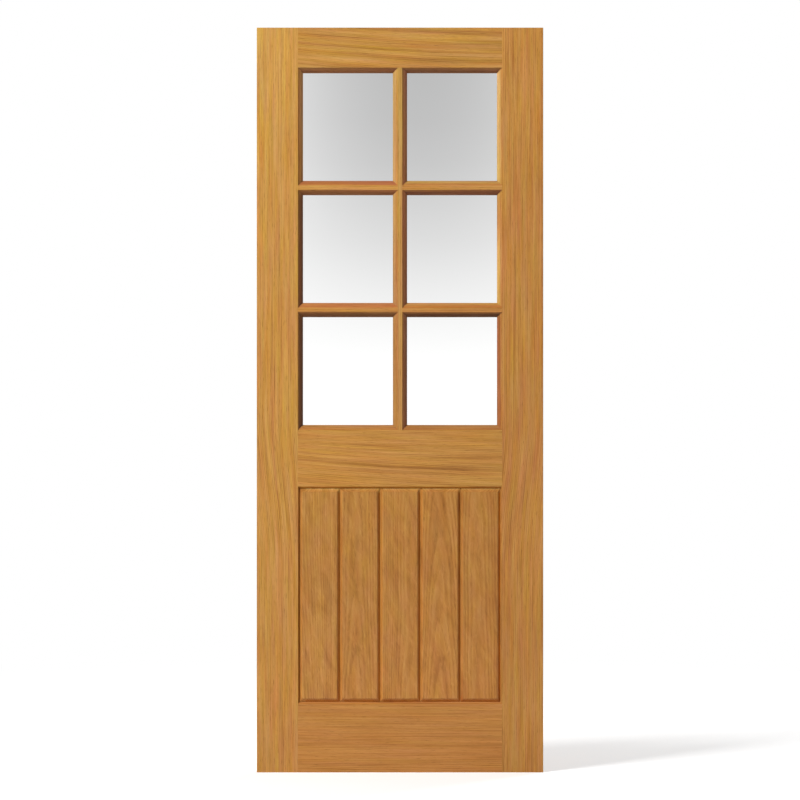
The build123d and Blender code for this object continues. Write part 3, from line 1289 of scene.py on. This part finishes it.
def floor_material():
    """Pale matt floor that reads as white, keeps the leaf's shadow and fades into the room."""
    material, tree = new_material("pale_floor")
    grey = (FLOOR_GREY, FLOOR_GREY, FLOOR_GREY, 1.0)
    matt = add_node(tree, "ShaderNodeBsdfDiffuse", {"Color": grey})
    path = add_node(tree, "ShaderNodeLightPath").outputs
    dimmer = FLOOR_GLOW_THROUGH - FLOOR_GLOW
    strength = math_node(tree, "MULTIPLY_ADD", path["Is Transmission Ray"], dimmer, FLOOR_GLOW)
    glow = add_node(tree, "ShaderNodeEmission", {"Strength": strength})
    both = add_node(tree, "ShaderNodeAddShader", {0: matt.outputs[0], 1: glow.outputs[0]})
    place = add_node(tree, "ShaderNodeTexCoord").outputs["Object"]
    away = add_node(tree, "ShaderNodeVectorMath", {0: place}, operation="LENGTH")
    far = ranged(tree, away.outputs["Value"], *FLOOR_FADE)
    colour = mixed(tree, path["Is Transmission Ray"], PLAIN, DOWN_COLOUR)
    room = add_node(tree, "ShaderNodeEmission", {"Color": colour})
    parts = {0: far, 1: both.outputs[0], 2: room.outputs[0]}
    faded = add_node(tree, "ShaderNodeMixShader", parts)
    seen = math_node(tree, "MAXIMUM", path["Is Camera Ray"], path["Is Glossy Ray"])
    seen = math_node(tree, "MAXIMUM", seen, path["Is Transmission Ray"])
    parts = {0: seen, 1: matt.outputs[0], 2: faded.outputs[0]}
    mix = add_node(tree, "ShaderNodeMixShader", parts)
    add_node(tree, "ShaderNodeOutputMaterial", {"Surface": mix.outputs["Shader"]})
    return material


class DOOR_OT_set_stage(Operator):
    """Sets the floor, the lamps, the surroundings and the camera"""

    bl_idname = "door.set_stage"
    bl_label = "Set the Stage"

    def execute(self, context):
        look = context.scene.door_stage
        bpy.ops.mesh.primitive_plane_add(
            size=look.floor_size, location=(LEAF_MIDDLE.x, LEAF_MIDDLE.y, LEAF_LOW.z)
        )
        floor = context.object
        floor.name = "floor"
        floor.data.materials.append(floor_material())

        soft_lamp("key_lamp", KEY_WAY, look.lamp_distance, look.key_size, look.key_power)
        soft_lamp("back_lamp", BACK_WAY, look.lamp_distance, look.back_size, look.back_power)
        surroundings(look.ambient)

        data = bpy.data.cameras.new("camera")
        picture_height = LEAF_HEIGHT * PICTURE_PIXELS / LEAF_PIXELS
        data.sensor_width = 36.0
        data.lens = data.sensor_width * look.camera_distance / picture_height
        data.clip_end = 100.0
        camera = bpy.data.objects.new("camera", data)
        camera.location = (LEAF_MIDDLE.x, LEAF_LOW.y - look.camera_distance, LEAF_MIDDLE.z)
        camera.rotation_euler = (math.pi / 2, 0.0, 0.0)
        context.scene.collection.objects.link(camera)
        context.scene.camera = camera
        context.scene.view_settings.view_transform = "Standard"
        return {"FINISHED"}


OPERATORS = (
    DOOR_OT_finish_stiles,
    DOOR_OT_finish_rails,
    DOOR_OT_finish_bars,
    DOOR_OT_finish_boards,
    DOOR_OT_finish_beads,
    DOOR_OT_finish_panes,
    DOOR_OT_fill_pin_holes,
    DOOR_OT_set_stage,
)


GROUPS = {
    "door_oak": OakFinish,
    "door_glass": GlassFinish,
    "door_fillings": PinFillings,
    "door_stage": StageLook,
}


class VIEW3D_PT_door(Panel):
    """Lists the door's sizes and colours and its steps"""

    bl_label = "Glazed Oak Door"
    bl_space_type = "VIEW_3D"
    bl_region_type = "UI"
    bl_category = "Door"

    def draw(self, context):
        for group, kind in GROUPS.items():
            column = self.layout.column(align=True)
            for name in kind.__annotations__:
                column.prop(getattr(context.scene, group), name)
        for operator in OPERATORS:
            self.layout.operator(operator.bl_idname)


CLASSES = (*GROUPS.values(), *OPERATORS, VIEW3D_PT_door)


def register():
    for each in CLASSES:
        bpy.utils.register_class(each)
    for group, kind in GROUPS.items():
        setattr(bpy.types.Scene, group, PointerProperty(type=kind))


def unregister():
    for group in GROUPS:
        delattr(bpy.types.Scene, group)
    for each in reversed(CLASSES):
        bpy.utils.unregister_class(each)


def main():
    register()
    bpy.ops.object.select_all(action="DESELECT")
    oak_grain()
    oak_vein()
    for operator in OPERATORS:
        group, name = operator.bl_idname.split(".")
        getattr(getattr(bpy.ops, group), name)()


if __name__ == "__main__":
    main()
